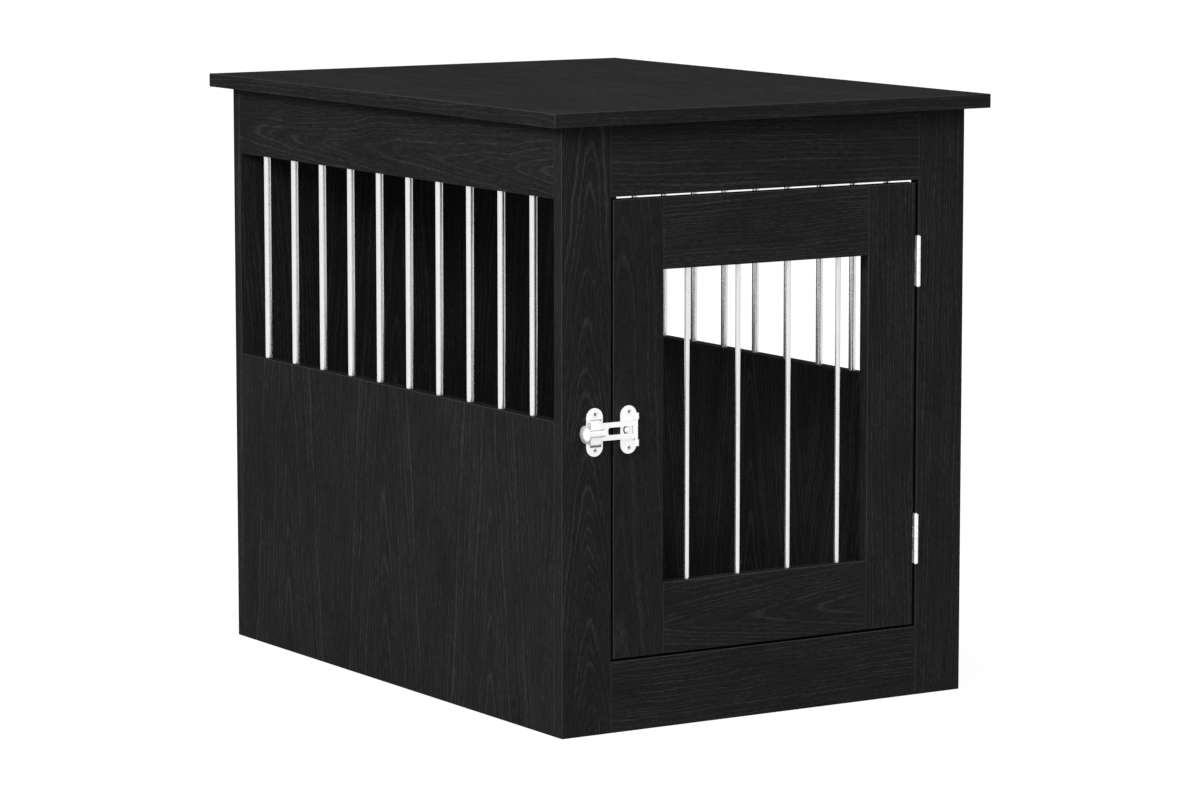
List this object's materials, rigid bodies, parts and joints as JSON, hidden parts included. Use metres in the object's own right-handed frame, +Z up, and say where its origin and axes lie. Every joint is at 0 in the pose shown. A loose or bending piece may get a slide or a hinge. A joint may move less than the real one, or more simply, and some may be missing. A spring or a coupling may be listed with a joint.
{
  "type": "dog crate end table",
  "caption": "Dog crate that doubles as an end table: black oak-grain boards, steel bars above solid lower sides, and a barred hinged door with a flip latch",
  "frame": {"origin": "On the floor, under the middle of the tabletop", "axes": "+Z up, +X to the right along the front, front door faces -Y"},
  "size_m": [0.55, 0.75, 0.65],
  "materials": {
    "black_oak_melamine": "black melamine facing embossed with oak grain, satin",
    "polished_bar_steel": "bright plated steel",
    "hinge_steel": "nickel-plated steel",
    "screw_steel": "zinc-plated cross-head screws",
    "latch_chrome": "polished plated steel",
    "fitting_zinc": "die-cast zinc alloy",
    "dowel_beech": "plain fluted beech"
  },
  "bodies": {
    "cabinet": {"top_panel": "black_oak_melamine", "bottom_panel": "black_oak_melamine", "back_panel": "black_oak_melamine", "left_upper_rail": "black_oak_melamine", "right_upper_rail": "black_oak_melamine", "left_lower_panel": "black_oak_melamine", "right_lower_panel": "black_oak_melamine", "front_left_stile": "black_oak_melamine", "front_right_stile": "black_oak_melamine", "front_top_rail": "black_oak_melamine", "front_bottom_rail": "black_oak_melamine", "left_bar_01": "polished_bar_steel", "left_bar_02": "polished_bar_steel", "left_bar_03": "polished_bar_steel", "left_bar_04": "polished_bar_steel", "left_bar_05": "polished_bar_steel", "left_bar_06": "polished_bar_steel", "left_bar_07": "polished_bar_steel", "left_bar_08": "polished_bar_steel", "left_bar_09": "polished_bar_steel", "left_bar_10": "polished_bar_steel", "right_bar_01": "polished_bar_steel", "right_bar_02": "polished_bar_steel", "right_bar_03": "polished_bar_steel", "right_bar_04": "polished_bar_steel", "right_bar_05": "polished_bar_steel", "right_bar_06": "polished_bar_steel", "right_bar_07": "polished_bar_steel", "right_bar_08": "polished_bar_steel", "right_bar_09": "polished_bar_steel", "right_bar_10": "polished_bar_steel", "upper_hinge_frame_leaf": "hinge_steel", "upper_hinge_pin": "hinge_steel", "lower_hinge_frame_leaf": "hinge_steel", "lower_hinge_pin": "hinge_steel", "hinge_frame_screws": "screw_steel", "keeper_plate": "latch_chrome", "keeper_screws": "screw_steel", "cam_locks": "fitting_zinc", "cam_bolts": "fitting_zinc", "dowels": "dowel_beech"},
    "door": {"door_left_stile": "black_oak_melamine", "door_right_stile": "black_oak_melamine", "door_top_rail": "black_oak_melamine", "door_bottom_rail": "black_oak_melamine", "door_bar_1": "polished_bar_steel", "door_bar_2": "polished_bar_steel", "door_bar_3": "polished_bar_steel", "door_bar_4": "polished_bar_steel", "upper_hinge_door_leaf": "hinge_steel", "lower_hinge_door_leaf": "hinge_steel", "hinge_door_screws": "screw_steel", "latch_plate": "latch_chrome", "latch_plate_screws": "screw_steel", "latch_pin": "hinge_steel", "door_dowels": "dowel_beech"},
    "arm": {"latch_arm": "latch_chrome", "latch_spring": "hinge_steel"},
    "puller": {"latch_knob": "latch_chrome", "latch_plunger": "hinge_steel"}
  },
  "joints": [
    {"name": "door_hinge", "type": "hinge", "parent": "cabinet", "child": "door", "pos_m": [0.193, -0.3576, 0.318], "axis": [0, 0, 1], "range_deg": [0, 170]},
    {"name": "latch_flip", "type": "hinge", "parent": "door", "child": "arm", "pos_m": [-0.1656, -0.3581, 0.318], "axis": [0, 0, 1], "range_deg": [0, 150]},
    {"name": "knob_pull", "type": "slide", "parent": "arm", "child": "puller", "axis": [-1, 0, 0], "range_m": [0, 0.0025], "stiffness_N_per_m": 400, "springref_m": -0.002, "deforming": ["latch_spring"]}
  ]
}
